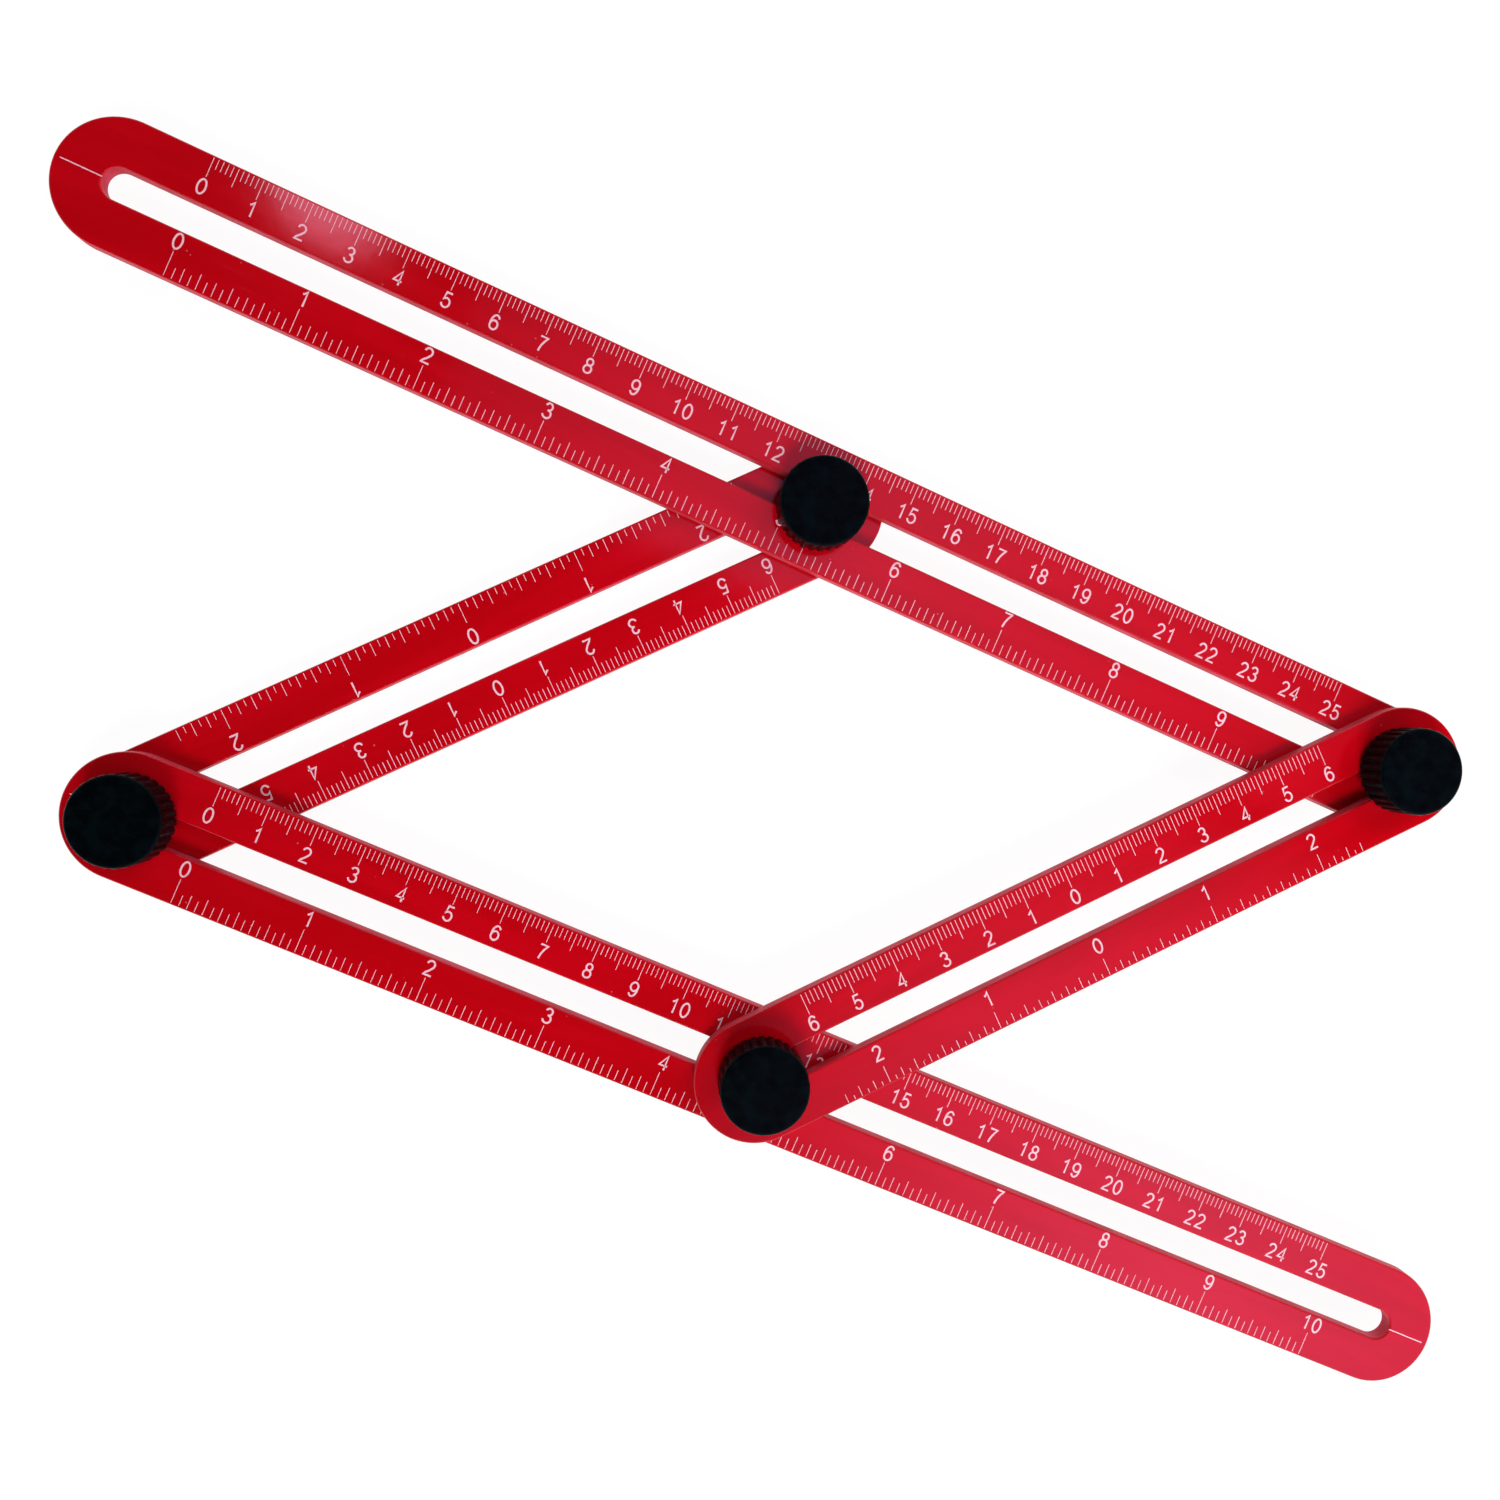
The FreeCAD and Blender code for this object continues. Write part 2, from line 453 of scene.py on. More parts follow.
def finishTree(graph, made, given):
    real = graph.add('GeometryNodeRealizeInstances', {}, {'Geometry': made})
    sockets = {'Geometry': real, 'Material': given['Material']}
    painted = graph.add('GeometryNodeSetMaterial', {}, sockets)
    graph.add('NodeGroupOutput', {}, {'Geometry': painted})
    return graph.tree


def grow(name, tree, values, startMesh=None):
    # runs a tree on a new object and keeps the result as a plain mesh
    piece = addObject(name, startMesh or bpy.data.meshes.new(name))
    modifier = piece.modifiers.new('shape', 'NODES')
    modifier.node_group = tree
    for item in tree.interface.items_tree:
        if item.in_out == 'INPUT' and item.name in values:
            modifier[item.identifier] = values[item.name]
    depsgraph = bpy.context.evaluated_depsgraph_get()
    made = bpy.data.meshes.new_from_object(
        piece.evaluated_get(depsgraph), preserve_all_data_layers=True, depsgraph=depsgraph)
    piece.modifiers.remove(modifier)
    piece.data = made
    made.name = name
    return piece


# the slotted rulers: a bar with round edges, swept along two straights and two half circles
rulerShape = {
    'slotWidth': 6.3 * mm, 'edgeRound': 0.35 * mm, 'arcPoints': 96, 'roundSteps': 4,
    'inkRoom': 0.03 * mm,  # left under each ruler for the print of the one below
    'grainShift': 0.4,  # from one ruler's surface pattern to the next one's
    'flatFrom': 0.999,  # faces that look up or down at least so far are shaded flat
    'sawnBelow': 0.1,  # and those that look sideways are sawn
}


def rulerTree():
    graph, given = newTree('slottedRuler', [
        ('Pitch', 'Float'), ('Width', 'Float'), ('Slot Width', 'Float'), ('Thickness', 'Float'),
        ('Edge Round', 'Float'), ('Round Steps', 'Int'), ('Arc Points', 'Int'),
        ('Shift', 'Float'), ('Middle', 'Vector'), ('Turn', 'Vector')])
    index = graph.index()
    left = index > given['Arc Points'] / 2 + 0.5
    angle = (index - left) * (2 * math.pi / given['Arc Points']) - math.pi / 2
    radius = (given['Width'] + given['Slot Width']) / 4
    x = radius * graph.cosine(angle) + given['Pitch'] * (0.5 - left)
    y = radius * graph.sine(angle)
    ring = graph.add('GeometryNodeCurvePrimitiveCircle', {'mode': 'RADIUS'},
                     {'Resolution': given['Arc Points'] + 2})
    path = graph.move(ring, graph.vector(x, y, 0.0))
    barWidth = (given['Width'] - given['Slot Width']) / 2
    bar = graph.add('GeometryNodeCurvePrimitiveQuadrilateral', {'mode': 'RECTANGLE'},
                    {'Width': barWidth, 'Height': given['Thickness']})
    bar = graph.add('GeometryNodeFilletCurve', {'mode': 'POLY'},
                    {0: bar, 'Count': given['Round Steps'], 'Radius': given['Edge Round']})
    across = graph.part(graph.position(), 0) / (barWidth / 2)
    bar = graph.keep(bar, 'across', 'FLOAT', across)
    made = graph.add('GeometryNodeCurveToMesh', {}, {0: path, 'Profile Curve': bar})
    along = graph.add('ShaderNodeVectorMath', {'operation': 'ADD'},
                      {0: graph.position(), 1: graph.vector(given['Shift'], 0.0, 0.0)})
    made = graph.keep(made, 'along', 'FLOAT_VECTOR', along)
    upward = abs(graph.part(graph.add('GeometryNodeInputNormal'), 2))
    made = graph.add('GeometryNodeSetShadeSmooth', {'domain': 'FACE'},
                     {0: made, 'Shade Smooth': upward < rulerShape['flatFrom']})
    return finishTree(graph, graph.put(made, given), given)


def rulerPlaces():
    # where each ruler lies, read from its box; the lower short one is turned half round
    places = {}
    low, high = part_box('front_long_ruler')
    width = high.y - low.y
    for name in ('front_long_ruler', 'rear_long_ruler', 'lower_short_ruler', 'upper_short_ruler'):
        low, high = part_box(name)
        low = low + Vector((0, 0, rulerShape['inkRoom']))
        middle = (low + high) / 2
        reach = Vector((high.x - low.x - width, high.y - low.y - width, 0))
        turn = math.atan2(reach.y, reach.x) + (math.pi if name.startswith('lower') else 0)
        places[name] = {
            'kind': 'long' if 'long' in name else 'short', 'pitch': reach.length, 'width': width,
            'thickness': high.z - low.z, 'turn': turn, 'middle': middle,
            'top': Vector((middle.x, middle.y, high.z)),
        }
    return places


places = rulerPlaces()
tree = rulerTree()
for order, (name, place) in enumerate(places.items()):
    ruler = grow(name + '_bar', tree, {
        'Pitch': place['pitch'], 'Width': place['width'], 'Slot Width': rulerShape['slotWidth'],
        'Thickness': place['thickness'], 'Edge Round': rulerShape['edgeRound'],
        'Round Steps': rulerShape['roundSteps'], 'Arc Points': rulerShape['arcPoints'],
        'Shift': rulerShape['grainShift'] * order, 'Middle': place['middle'],
        'Turn': (0, 0, place['turn']), 'Material': materials['red']})
    faceOutwards(ruler.data)
    # the sideways faces take the dull sawn copy, whose paler pink is a painted reflection of the
    # floor
    ruler.data.materials.append(materials['sawnPaintedReflection'])
    for face in ruler.data.polygons:
        face.material_index = int(abs(face.normal.z) < rulerShape['sawnBelow'])
    settle(ruler, bodyOf[name], name)
print('rulers ready')


# the printed scales: a row of marks whose length follows their number, in millimetres
scalePrint = {
    'ink': 0.016 * mm, 'line': 0.125 * mm, 'edgeGap': 0.42 * mm,
    'zero': {'long': -127.0 * mm, 'short': 0.0},
    'slip': {'upper_short_ruler': 0.5},  # this one's print sits nearer to its inch edge
    'metric': {
        'side': 1.0, 'step': 1.0 * mm, 'every': (5, 10, 10),
        'long': {'marks': (0, 250), 'lengths': (2.1, 3.75, 4.0, 4.0)},
        'short': {'marks': (-60, 60), 'lengths': (2.1, 3.75, 4.0, 4.0)},
    },
    'inch': {
        'side': -1.0, 'step': 25.4 / 16 * mm, 'every': (2, 4, 16),
        'long': {'marks': (0, 160), 'lengths': (2.15, 2.75, 3.15, 4.95)},
        'short': {'marks': (-38, 38), 'lengths': (1.35, 2.3, 2.7, 4.1)},
    },
}


def marksTree():
    levels = (2, 3, 4)
    graph, given = newTree('scaleMarks', [
        ('First', 'Int'), ('Last', 'Int'), ('Step', 'Float'), ('Zero', 'Float'),
        ('Edge', 'Float'), ('Side', 'Float'), ('Line', 'Float'), ('Ink', 'Float'),
        ('Middle', 'Vector'), ('Turn', 'Vector'), ('Length 1', 'Float'),
        *[('Length %d' % level, 'Float') for level in levels],
        *[('Every %d' % level, 'Int') for level in levels]])
    number = graph.index() + given['First']
    length = given['Length 1']
    for level in levels:
        fits = number % given['Every %d' % level] < 0.5
        length = length + fits * (given['Length %d' % level] - length)
    middle = given['Side'] * (given['Edge'] - length / 2)
    spots = graph.vector(number * given['Step'] + given['Zero'], middle, given['Ink'] / 2)
    made = graph.blocks(given['Last'] - given['First'] + 1.0, spots,
                        graph.vector(given['Line'], length, given['Ink']))
    return finishTree(graph, graph.put(made, given), given)


marks = marksTree()
for name, place in places.items():
    for system in ('metric', 'inch'):
        rule = scalePrint[system]
        extent = rule[place['kind']]
        slip = scalePrint['slip'].get(name, 0.0) * rule['side']
        values = {
            'First': extent['marks'][0], 'Last': extent['marks'][1], 'Step': rule['step'],
            'Zero': scalePrint['zero'][place['kind']], 'Side': rule['side'],
            'Edge': place['width'] / 2 - scalePrint['edgeGap'],
            'Line': scalePrint['line'], 'Ink': scalePrint['ink'],
            'Middle': place['top'], 'Turn': (0, 0, place['turn']), 'Material': materials['ink'],
        }
        for level, length in enumerate(extent['lengths'], 1):
            values['Length %d' % level] = (length + slip) * mm
        for level, every in enumerate(rule['every'], 2):
            values['Every %d' % level] = every
        settle(grow(name + '_' + system + '_marks', marks, values), bodyOf[name])
print('marks ready')


# the numbers beside the marks, each digit drawn by strokes in a box one unit high;
# a stroke is made of points (x, y) and arcs (x, y, radius x, radius y, start, end)
digitStrokes = {
    '0': [[(0.27, 0.5, 0.27, 0.5, 90, 450)]],
    '1': [[(0.09, 0.76), (0.22, 0.84), (0.34, 1.0), (0.34, 0.0)]],
    '2': [[(0.27, 0.73, 0.25, 0.27, 172, -32), (0.30, 0.35), (0.10, 0.16), (0.01, 0.0),
           (0.54, 0.0)]],
    '3': [[(0.25, 0.76, 0.22, 0.24, 165, -70), (0.22, 0.53)],
          [(0.22, 0.53), (0.25, 0.265, 0.27, 0.265, 75, -168)]],
    '4': [[(0.41, 0.0), (0.41, 1.0), (0.0, 0.29), (0.56, 0.29)]],
    '5': [[(0.50, 1.0), (0.12, 1.0), (0.05, 0.50), (0.26, 0.31, 0.27, 0.32, 128, -165)]],
    '6': [[(0.28, 0.31, 0.26, 0.31, 90, 450)], [(0.30, 0.5, 0.28, 0.5, 38, 200)]],
    '7': [[(0.02, 1.0), (0.54, 1.0), (0.38, 0.72), (0.25, 0.38), (0.19, 0.0)]],
    '8': [[(0.27, 0.765, 0.21, 0.235, 90, 450)], [(0.27, 0.27, 0.26, 0.27, 90, 450)]],
    '9': [[(0.26, 0.69, 0.26, 0.31, 90, 450)], [(0.24, 0.5, 0.28, 0.5, -142, 20)]],
}
numberPrint = {
    'digitWidth': 0.58, 'digitStep': 0.84, 'stroke': 0.11, 'arcStep': 18,
    'layerLift': 0.1,  # how much higher a digit's second stroke stands, as a share of the ink
    'mitre': 0.6,  # the least share of a corner's reach, which keeps sharp ones short
    'closes': 0.01,  # a line whose ends are nearer than this share of its reach is closed
    'metric': {'height': 3.3 * mm, 'low': 4.6 * mm, 'shift': 0.0, 'pairShift': 0.1 * mm,
               'per': 10},
    'inch': {'height': 3.4 * mm, 'low': -6.9 * mm, 'shift': 0.1 * mm, 'pairShift': 0.1 * mm,
             'per': 16},
    'axisLine': {'gap': 1.3 * mm, 'line': 0.22 * mm},
}


def strokePoints(stroke):
    line = []
    for item in stroke:
        if len(item) == 2:
            line.append(Vector(item))
            continue
        x, y, across, upward, start, end = item
        steps = max(2, round(abs(end - start) / numberPrint['arcStep']))
        for step in range(steps + 1):
            turn = math.radians(start + (end - start) * step / steps)
            line.append(Vector((x + across * math.cos(turn), y + upward * math.sin(turn))))
    return line


def addRibbon(work, line, reach, top):
    # a flat strip of even width along a line, with square ends unless the line closes
    closed = (line[0] - line[-1]).length < reach * numberPrint['closes']
    if closed:
        line = line[:-1]
    rings = []
    for order, here in enumerate(line):
        before = here - line[order - 1]
        after = line[(order + 1) % len(line)] - here
        if not closed and order == 0:
            before = after
        if not closed and order == len(line) - 1:
            after = before
        before, after = before.normalized(), after.normalized()
        across = (before + after).normalized().orthogonal()
        across = across * (reach / max(numberPrint['mitre'], across.dot(after.orthogonal())))
        sides = [here + across, here - across]
        rings.append([work.verts.new((*side, height)) for side, height in
                      ((sides[0], top), (sides[1], top), (sides[1], 0), (sides[0], 0))])
    pairs = list(zip(rings, rings[1:])) + ([(rings[-1], rings[0])] if closed else [])
    for ring, nextRing in pairs:
        for order in range(4):
            work.faces.new((ring[order], ring[order - 1], nextRing[order - 1], nextRing[order]))
    if not closed:
        work.faces.new(rings[0])
        work.faces.new(rings[-1][::-1])


def addNumber(work, text, height, middle, low):
    # a number of that height over the point (middle, low)
    rule = numberPrint
    reach = height * rule['stroke'] / 2
    inner = height * (1 - rule['stroke'])
    width = rule['digitWidth'] + rule['digitStep'] * (len(text) - 1)
    for order, digit in enumerate(text):
        corner = Vector((middle + (rule['digitStep'] * order - width / 2) * inner, low + reach))
        for layer, stroke in enumerate(digitStrokes[digit]):
            line = [corner + point * inner for point in strokePoints(stroke)]
            addRibbon(work, line, reach, scalePrint['ink'] * (1 + rule['layerLift'] * layer))


def printNumbers(name, place):
    slip = scalePrint['slip'].get(name, 0.0) * mm
    zero = scalePrint['zero'][place['kind']]
    work = bmesh.new()
    for system in ('metric', 'inch'):
        rule = numberPrint[system]
        step = scalePrint[system]['step']
        first, last = scalePrint[system][place['kind']]['marks']
        for number in range(math.ceil(first / rule['per']), last // rule['per'] + 1):
            text = str(abs(number))
            shift = rule['shift'] if len(text) == 1 else rule['pairShift']
            middle = zero + number * rule['per'] * step + shift
            addNumber(work, text, rule['height'], middle, rule['low'] - slip)
    if place['kind'] == 'long':
        axis = numberPrint['axisLine']
        start = (place['pitch'] + rulerShape['slotWidth']) / 2
        end = (place['pitch'] + place['width']) / 2 - axis['gap']
        for side in (-1, 1):
            line = [Vector((side * start, 0)), Vector((side * end, 0))]
            addRibbon(work, line, axis['line'] / 2, scalePrint['ink'])
    mesh = meshFrom(work, name + '_numbers')
    faceOutwards(mesh)
    mesh.materials.append(materials['ink'])
    mesh.transform(Matrix.Translation(place['top']) @ Matrix.Rotation(place['turn'], 4, 'Z'))
    settle(addObject(name + '_numbers', mesh), bodyOf[name])


for name, place in places.items():
    printNumbers(name, place)
print('numbers ready')


# what knobs and bolts share, which are turned from a profile
turnedShape = {
    'roundSteps': 3,
    'groovePower': 3.0,  # narrows the grooves between the ribs
    'softBelow': 0.6,  # the angle from which an edge stays crisp
    'seamReach': 0.002 * mm,  # points nearer than this are one
}


def turnedTree():
    # turns a profile round the Z axis, with ribs along it or a thread round it as it asks
    graph, given = newTree('turnedPiece', [
        ('Steps', 'Int'), ('Ribs', 'Int'), ('Rib Depth', 'Float'), ('Thread Pitch', 'Float'),
        ('Thread Depth', 'Float')])
    points = graph.add('GeometryNodeAttributeDomainSize', {'component': 'MESH'},
                       {0: given['Geometry']}) + 0.0
    grid = graph.add('GeometryNodeMeshGrid', {},
                     {'Vertices X': given['Steps'] + 1.0, 'Vertices Y': points})
    index = graph.index()
    row = index % points
    angle = (index - row) / points * (2 * math.pi / given['Steps'])

    def fromProfile(value, kind):
        return graph.add('GeometryNodeSampleIndex', {'data_type': kind, 'domain': 'POINT'},
                         {'Geometry': given['Geometry'], 'Value': value, 'Index': row})

    def weight(label):
        settings = {'data_type': 'FLOAT'}
        stored = graph.add('GeometryNodeInputNamedAttribute', settings, {'Name': label})
        return fromProfile(stored, 'FLOAT')

    radius = graph.part(fromProfile(graph.position(), 'FLOAT_VECTOR'), 0)
    height = radius.out(2)
    valley = 0.5 + 0.5 * graph.cosine(angle * given['Ribs'])
    turnShare = (height / given['Thread Pitch'] - angle / (2 * math.pi)) % 1.0
    groove = abs(turnShare * 2.0 - 1.0)
    crest = weight('ribbed') * (1.0 - valley)
    radius = radius - given['Rib Depth'] * weight('ribbed') * valley ** turnedShape['groovePower']
    radius = radius - given['Thread Depth'] * weight('threaded') * groove
    made = graph.keep(grid, 'crest', 'FLOAT', crest)
    place = graph.vector(radius * graph.cosine(angle), radius * graph.sine(angle), height)
    made = graph.add('GeometryNodeMergeByDistance', {},
                     {0: graph.move(made, place), 'Distance': turnedShape['seamReach']})
    made = graph.keep(made, 'along', 'FLOAT_VECTOR', graph.position())
    soft = graph.add('GeometryNodeInputMeshEdgeAngle') < turnedShape['softBelow']
    made = graph.add('GeometryNodeSetShadeSmooth', {'domain': 'FACE'},
                     {0: made, 'Shade Smooth': True})
    made = graph.add('GeometryNodeSetShadeSmooth', {'domain': 'EDGE'},
                     {0: made, 'Shade Smooth': soft})
    return finishTree(graph, made, given)


def profileMesh(name, stations):
    # stations are (radius, height, rounding, ribbed, threaded), in millimetres, and may leave
    # out what is nought at their end
    line = []
    for order, station in enumerate(stations):
        r, z, rounding, ribbed, threaded = (*station, 0, 0, 0)[:5]
        here = Vector((r, z))
        if not rounding:
            line.append((r, z, ribbed, threaded))
            continue
        before = (Vector(stations[order - 1][:2]) - here).normalized()
        after = (Vector(stations[order + 1][:2]) - here).normalized()
        half = before.angle(after) / 2
        reach = rounding / math.tan(half)
        centre = here + (before + after).normalized() * (rounding / math.sin(half))
        start, end = here + before * reach - centre, here + after * reach - centre
        sweep = start.angle_signed(end) / turnedShape['roundSteps']
        for step in range(turnedShape['roundSteps'] + 1):
            spoke = Matrix.Rotation(-sweep * step, 2) @ start
            line.append((*(centre + spoke), ribbed, threaded))
    mesh = bpy.data.meshes.new(name)
    mesh.from_pydata([(r * mm, 0, z * mm) for r, z, _, _ in line],
                     [(step, step + 1) for step in range(len(line) - 1)], [])
    for label, column in (('ribbed', 2), ('threaded', 3)):
        kept = mesh.attributes.new(label, 'FLOAT', 'POINT')
        kept.data.foreach_set('value', [float(point[column]) for point in line])
    return mesh


def joinInto(name, pieces, material, placement):
    # one new piece of one material, made at its place from loose ones, which stay
    work = bmesh.new()
    for piece in pieces:
        work.from_mesh(piece.data)
    for face in work.faces:
        face.material_index = 0
    made = meshFrom(work, name)
    made.materials.append(material)
    made.transform(placement)
    return addObject(name, made)


def dropAll(pieces):
    for piece in pieces:
        bpy.data.objects.remove(piece)


# the clamping knob, measured up from the ruler it stands on, in millimetres
knobShape = {
    'radius': 8.99, 'height': 7.5, 'skirt': 0.3, 'wall': 1.4, 'roof': 1.5,
    'crown': 0.75, 'flatStart': 2.2,  # the flat top starts this many crowns in from the side
    'crownSteps': 8, 'smoothSteps': 5,  # the first steps of the crown have no ribs
    'ribStart': 1.2, 'rimIn': 0.2, 'rimUp': 0.25, 'rimRound': 0.12,
    'draft': 0.1, 'fillet': 0.4, 'bossRadius': 4.8, 'bossRound': 0.15, 'washer': 1.0,
    'boreRadius': 3.42, 'boreTop': 5.7, 'boreRound': 0.1,
    'ribs': 30, 'ribDepth': 0.4, 'stepsPerRib': 12,
    'webs': 4, 'webThickness': 0.9, 'webGap': 0.4, 'webBite': 0.1,
}


def knobProfile():
    shape = knobShape
    radius = shape['radius']
    inner = radius - shape['wall']
    roof = shape['height'] - shape['roof']
    crownStart = shape['height'] - shape['crown']
    stations = [
        (0, shape['height']),
        (radius - shape['crown'] * shape['flatStart'], shape['height']),
    ]
    for step in range(shape['crownSteps'] + 1):
        turn = math.pi / 2 * (1 - step / shape['crownSteps'])
        r = radius - shape['crown'] * (1 - math.cos(turn))
        ribbedSteps = shape['crownSteps'] - shape['smoothSteps']
        ribbed = max(0, (step - shape['smoothSteps']) / ribbedSteps)
        stations.append((r, crownStart + shape['crown'] * math.sin(turn), 0, ribbed))
    stations += [
        (radius, crownStart - shape['ribStart'], 0, 1),
        (radius, shape['skirt'] + shape['rimUp'], 0, 1),
        (radius - shape['rimIn'], shape['skirt'], 0, 1),
        (inner, shape['skirt'], shape['rimRound']),
        (inner - shape['draft'], roof, shape['fillet']),
        (shape['bossRadius'] + shape['draft'], roof, shape['fillet']),
        (shape['bossRadius'], shape['washer'], shape['bossRound']),
        (shape['boreRadius'], shape['washer'], shape['boreRound']),
        (shape['boreRadius'], shape['boreTop'], shape['boreRound']),
        (0, shape['boreTop']),
    ]
    return profileMesh('knobProfile', stations)


def websTree():
    graph, given = newTree('knobWebs', [
        ('Count', 'Int'), ('Inner', 'Float'), ('Outer', 'Float'), ('Thickness', 'Float'),
        ('Low', 'Float'), ('High', 'Float')])
    angle = graph.index() * (2 * math.pi / given['Count'])
    radius = (given['Inner'] + given['Outer']) / 2
    spots = graph.vector(radius * graph.cosine(angle), radius * graph.sine(angle),
                         (given['Low'] + given['High']) / 2)
    scale = graph.vector(given['Outer'] - given['Inner'], given['Thickness'],
                         given['High'] - given['Low'])
    made = graph.blocks(given['Count'] + 0.0, spots, scale, graph.vector(0.0, 0.0, angle))
    return finishTree(graph, made, given)


turned = turnedTree()
cup = grow('knobCup', turned, {
    'Steps': knobShape['ribs'] * knobShape['stepsPerRib'], 'Ribs': knobShape['ribs'],
    'Rib Depth': knobShape['ribDepth'] * mm, 'Thread Pitch': 1.0, 'Thread Depth': 0.0,
    'Material': materials['black']}, knobProfile())
faceOutwards(cup.data)
webs = grow('knobWebs', websTree(), {
    'Count': knobShape['webs'], 'Thickness': knobShape['webThickness'] * mm,
    'Inner': (knobShape['bossRadius'] - knobShape['webBite']) * mm,
    'Outer': (knobShape['radius'] - knobShape['wall'] + knobShape['webBite']) * mm,
    'Low': (knobShape['washer'] + knobShape['webGap']) * mm,
    'High': (knobShape['height'] - knobShape['roof'] + knobShape['webBite']) * mm,
    'Material': materials['black']})
for corner in corners:
    name = corner + '_knob'
    low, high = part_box(name)
    foot = high.z - knobShape['height'] * mm
    place = Matrix.Translation(((low.x + high.x) / 2, (low.y + high.y) / 2, foot))
    knob = joinInto(name + '_cup', [cup, webs], materials['black'], place)
    settle(knob, bodyOf[name], name)
dropAll([cup, webs])
print('knobs ready')


# the clamping bolt, measured from the underside of the ruler whose slot holds its neck, in
# millimetres
boltShape = {
    # radius and height of the domed head's outline, measured from its foot
    'head': ((0, 0), (3.4, 0.03), (4.6, 0.18), (5.35, 0.5), (5.8, 0.9), (5.94, 1.35),
             (5.94, 1.5), (5.8, 1.6)),
    'headHeight': 1.6, 'neck': 5.0, 'neckHeight': 2.9, 'neckRound': 0.35, 'neckSteps': 4,
    'shankRadius': 2.4, 'length': 11.4, 'steps': 48,
    'threadPitch': 0.8, 'threadDepth': 0.42, 'rowsPerTurn': 8, 'fadeRows': 6,
    'threadGaps': (0.2, 0.5),  # from the neck to the thread, and from the thread to the tip
    'tip': ((0.3, 0.1, 0.3), (0.5, 0, 0)),  # in from the shank, down, and share of the thread
}


def boltProfile():
    shape = boltShape
    radius = shape['shankRadius']
    below, above = shape['threadGaps']
    stations = [(r, z - shape['headHeight']) for r, z in shape['head']]
    stations += [(radius, 0), (radius, shape['neckHeight'] + below / 2)]
    threadStep = shape['threadPitch'] / shape['rowsPerTurn']
    start = shape['neckHeight'] + below
    rows = int((shape['length'] - above - start) / threadStep)
    for row in range(rows + 1):
        fade = min(1, row / shape['fadeRows'])
        stations.append((radius, start + row * threadStep, 0, 0, fade))
    for inward, down, share in shape['tip']:
        stations.append((radius - inward, shape['length'] - down, 0, 0, share))
    stations.append((0, shape['length']))
    return profileMesh('boltProfile', stations)


def boltNeck():
    shape = boltShape
    work = bmesh.new()
    size = Matrix.Diagonal((shape['neck'] * mm, shape['neck'] * mm, shape['neckHeight'] * mm, 1))
    spot = Matrix.Translation((0, 0, shape['neckHeight'] * mm / 2))
    bmesh.ops.create_cube(work, size=1.0, matrix=spot @ size)
    upright = [edge for edge in work.edges if abs(edge.verts[0].co.z - edge.verts[1].co.z) > mm]
    bmesh.ops.bevel(work, geom=upright, offset=shape['neckRound'] * mm, profile=0.5,
                    segments=shape['neckSteps'], affect='EDGES')
    mesh = meshFrom(work, 'boltNeck')
    mesh.materials.append(materials['steel'])
    return addObject('boltNeck', mesh)


shank = grow('boltShank', turned, {
    'Steps': boltShape['steps'], 'Ribs': 1, 'Rib Depth': 0.0,
    'Thread Pitch': boltShape['threadPitch'] * mm, 'Thread Depth': boltShape['threadDepth'] * mm,
    'Material': materials['steel']}, boltProfile())
faceOutwards(shank.data)
neck = boltNeck()
for corner in corners:
    name = corner + '_bolt'
    low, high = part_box(name)
    foot = low.z + boltShape['headHeight'] * mm
    turn = places['lower_short_ruler']['turn'] if corner.endswith('left') else 0.0
    place = Matrix.Translation(((low.x + high.x) / 2, (low.y + high.y) / 2, foot))
    place = place @ Matrix.Rotation(turn, 4, 'Z')
    bolt = joinInto(name + '_threaded', [shank, neck], materials['steel'], place)
    settle(bolt, bodyOf[name], name)
dropAll([shank, neck])
print('bolts ready')


# washers and inserts keep their own shape
def paint(node, material):
    mesh = frame["nodes"][node].data
    mesh.materials.clear()
    mesh.materials.append(material)


for corner in corners:
    paint(corner + '_washer', materials['steel'])
    paint(corner + '_insert', materials['brass'])


# a pale floor that curves up into a round backdrop, which dims towards its top
studio = {
    'ringRadius': 0.5, 'floorRadius': 1.7, 'coveRadius': 0.6, 'coveSteps': 12, 'spinSteps': 96,
    'wallTop': 2.0, 'dimming': (0.95, 1.8), 'glow': 0.94, 'roughness': 0.9, 'gloss': 0.1,
    'colour': (0.08, 0.08, 0.08, 1), 'pale': (1, 1, 1, 1), 'dim': (0.2, 0.2, 0.2, 1),
    'sky': 0.015,
}


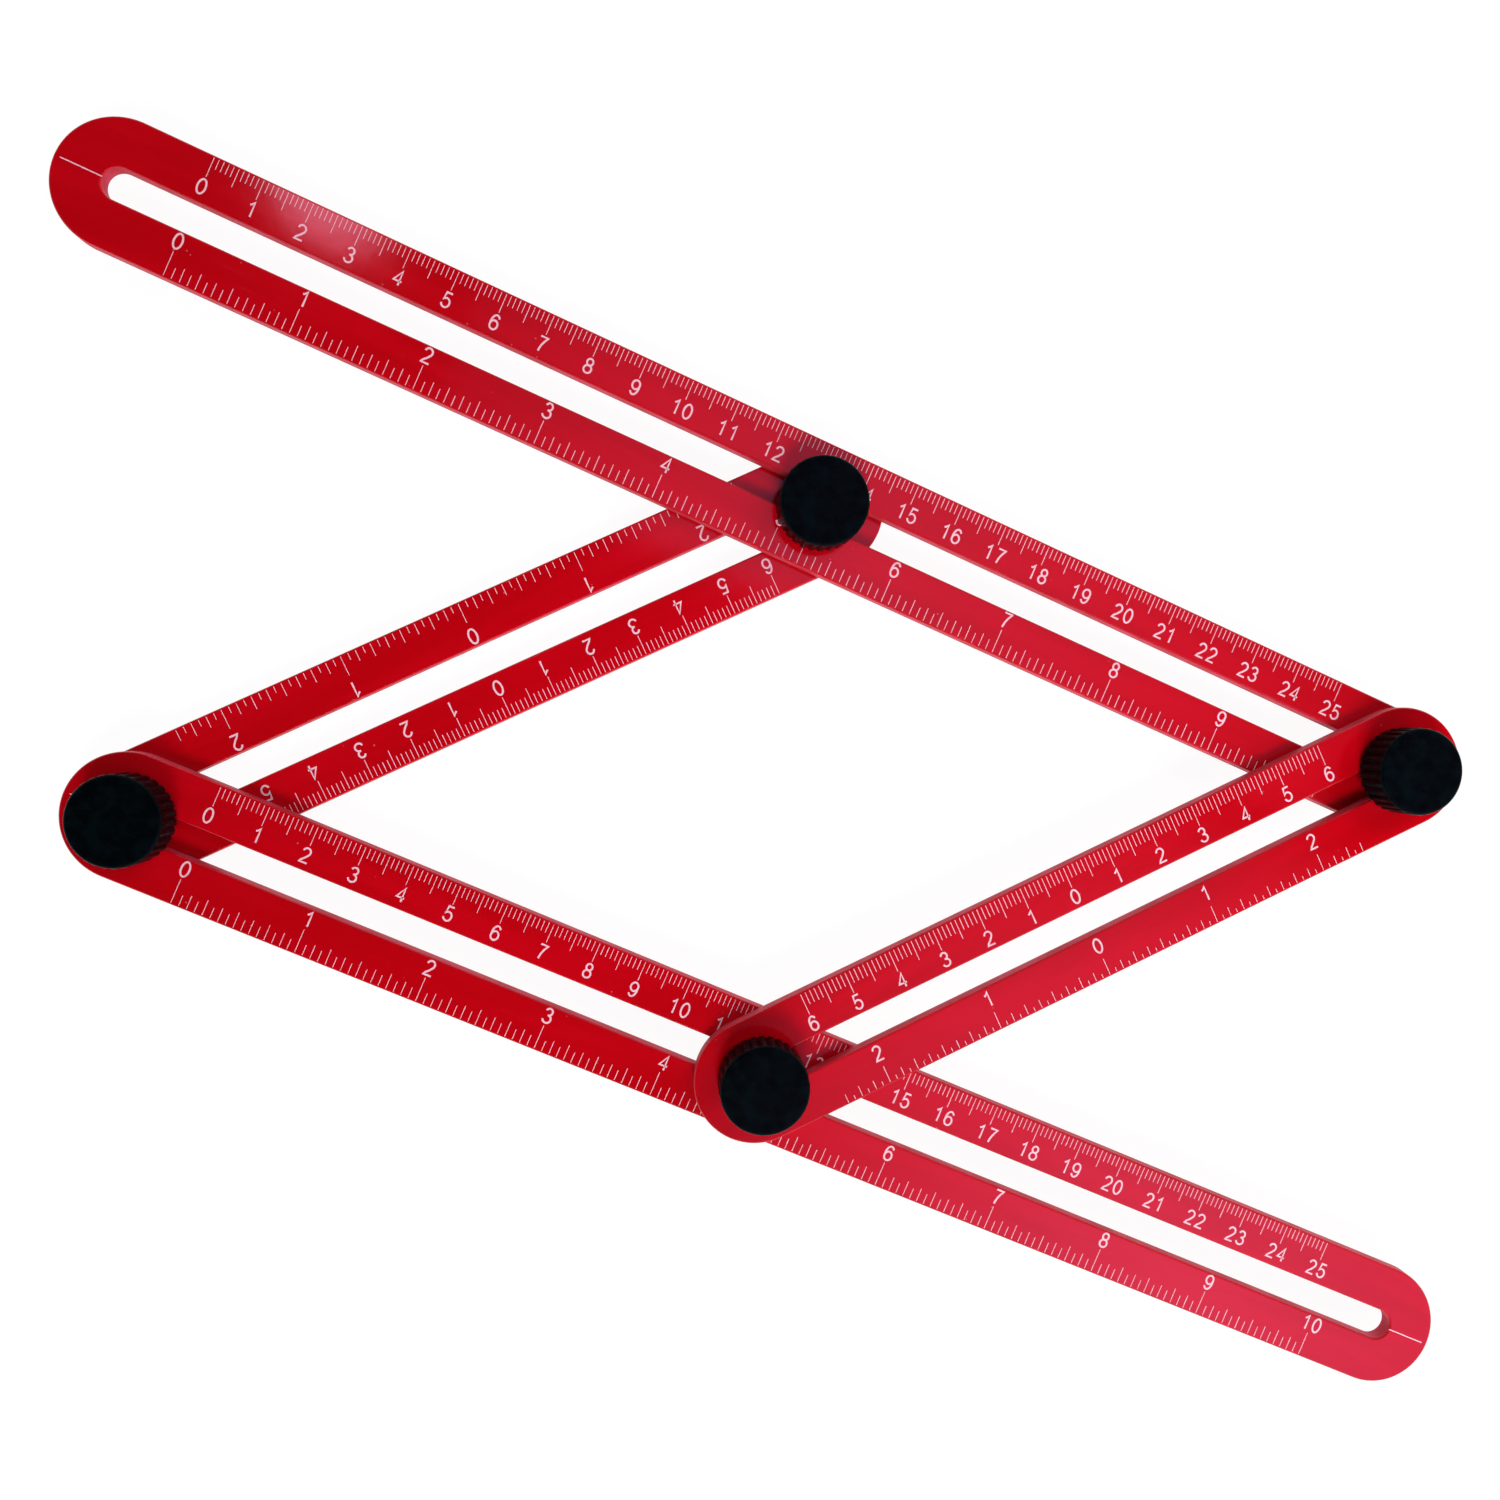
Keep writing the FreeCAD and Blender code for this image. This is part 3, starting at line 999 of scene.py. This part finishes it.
def makeStage():
    cove, outside = studio['coveRadius'], studio['floorRadius'] + studio['coveRadius']
    line = [(0.0, 0.0), (studio['ringRadius'], 0.0), (studio['floorRadius'], 0.0)]
    for step in range(1, studio['coveSteps'] + 1):
        turn = math.pi / 2 * step / studio['coveSteps']
        line.append((studio['floorRadius'] + cove * math.sin(turn), cove * (1 - math.cos(turn))))
    line.append((outside, studio['wallTop']))
    work = bmesh.new()
    points = [work.verts.new((r, 0, z)) for r, z in line]
    edges = [work.edges.new(pair) for pair in zip(points, points[1:])]
    bmesh.ops.spin(work, geom=points + edges, axis=(0, 0, 1), cent=(0, 0, 0),
                   angle=2 * math.pi, steps=studio['spinSteps'])
    bmesh.ops.remove_doubles(work, verts=work.verts, dist=0.1 * mm)
    bmesh.ops.recalc_face_normals(work, faces=work.faces)
    mesh = meshFrom(work, 'stage')
    for face in mesh.polygons:
        face.use_smooth = True
    material, graph = newMaterial('stagePaint')
    dimmed = graph.ease(graph.part(graph.objectPlace(), 2), *studio['dimming'])
    finishMaterial(graph, {
        'Base Color': studio['colour'], 'Roughness': studio['roughness'],
        'Specular IOR Level': studio['gloss'],
        'Emission Color': graph.blend(dimmed, studio['pale'], studio['dim']),
        'Emission Strength': studio['glow']})
    mesh.materials.append(material)
    addObject('stage', mesh)


makeStage()

# soft boxes: where each one hangs and what it is aimed at, its size, beam and strength; the keys
# give the light, the veils and the window show in the gloss of the plastic
veilTint = (1, 0.58, 1.18)
softBoxes = {
    'keyFront': {'place': (0.45, -0.72, 0.85), 'aim': (0.28, -0.02, 0), 'size': (0.80, 0.44),
                 'beam': 44.5, 'power': 1.55},
    'keyBack': {'place': (0.45, 0.70, 0.85), 'aim': (0.20, 0.00, 0), 'size': (0.80, 0.36),
                'beam': 97, 'power': 1.6},
    'keyRight': {'place': (1.25, -0.20, 0.48), 'aim': (0.05, 0.00, 0), 'size': (0.50, 0.90),
                 'beam': 84.5, 'power': 1.35},
    'frontVeil': {'place': (0.450, -0.203, 0.80), 'aim': (-0.241, 0.150, -0.22),
                  'size': (1.18, 0.70), 'beam': 48.5, 'power': 0.228, 'colour': veilTint},
    'rearVeil': {'place': (0.115, 0.305, 0.80), 'aim': (-0.009, 0.142, -0.22),
                 'size': (0.90, 0.318), 'beam': 54.4, 'power': 0.049, 'colour': veilTint},
    'window': {'place': (-0.460, 0.300, 0.80), 'aim': (0, 0, 0), 'size': (0.100, 0.076),
               'beam': 180, 'power': 0.115, 'colour': (1, 0.42, 0.62), 'round': True},
}


def makeLights():
    for name, box in softBoxes.items():
        lamp = bpy.data.lights.new(name, 'AREA')
        lamp.shape = 'ELLIPSE' if 'round' in box else 'RECTANGLE'
        lamp.size, lamp.size_y = box['size']
        lamp.energy = box['power']
        lamp.color = box.get('colour', (1, 1, 1))
        lamp.spread = math.radians(box['beam'])
        holder = addObject(name, lamp)
        spot = Vector(box['place'])
        away = (spot - Vector(box['aim'])).normalized()
        side = Vector((0, 1, 0)).cross(away).normalized()
        turn = Matrix((side, away.cross(side), away)).transposed()
        holder.matrix_world = Matrix.Translation(spot) @ turn.to_4x4()
        holder.visible_camera = False
        holder.visible_glossy = not name.startswith('key')
    world = bpy.data.worlds.new('studio')
    bpy.context.scene.world = world
    world.use_nodes = True
    world.node_tree.nodes.clear()
    graph = Graph(world.node_tree)
    sky = graph.add('ShaderNodeBackground', {}, {'Color': (1, 1, 1, 1), 'Strength': studio['sky']})
    graph.add('ShaderNodeOutputWorld', {}, {'Surface': sky})


makeLights()

# the photograph's view, a little off straight down
view = {
    'place': (-0.03274, 0.00424, 0.23643), 'turn': (-0.0362, -0.0880, 0.4122),
    'lens': 27.12, 'sensor': 36.0, 'clip': (0.01, 20.0),
}
lens = bpy.data.cameras.new('camera')
lens.lens = view['lens']
lens.sensor_width = view['sensor']
lens.clip_start, lens.clip_end = view['clip']
camera = addObject('camera', lens)
camera.location = view['place']
camera.rotation_euler = view['turn']
bpy.context.scene.camera = camera
bpy.context.scene.view_settings.view_transform = 'Standard'
print('stage, lights and camera ready')
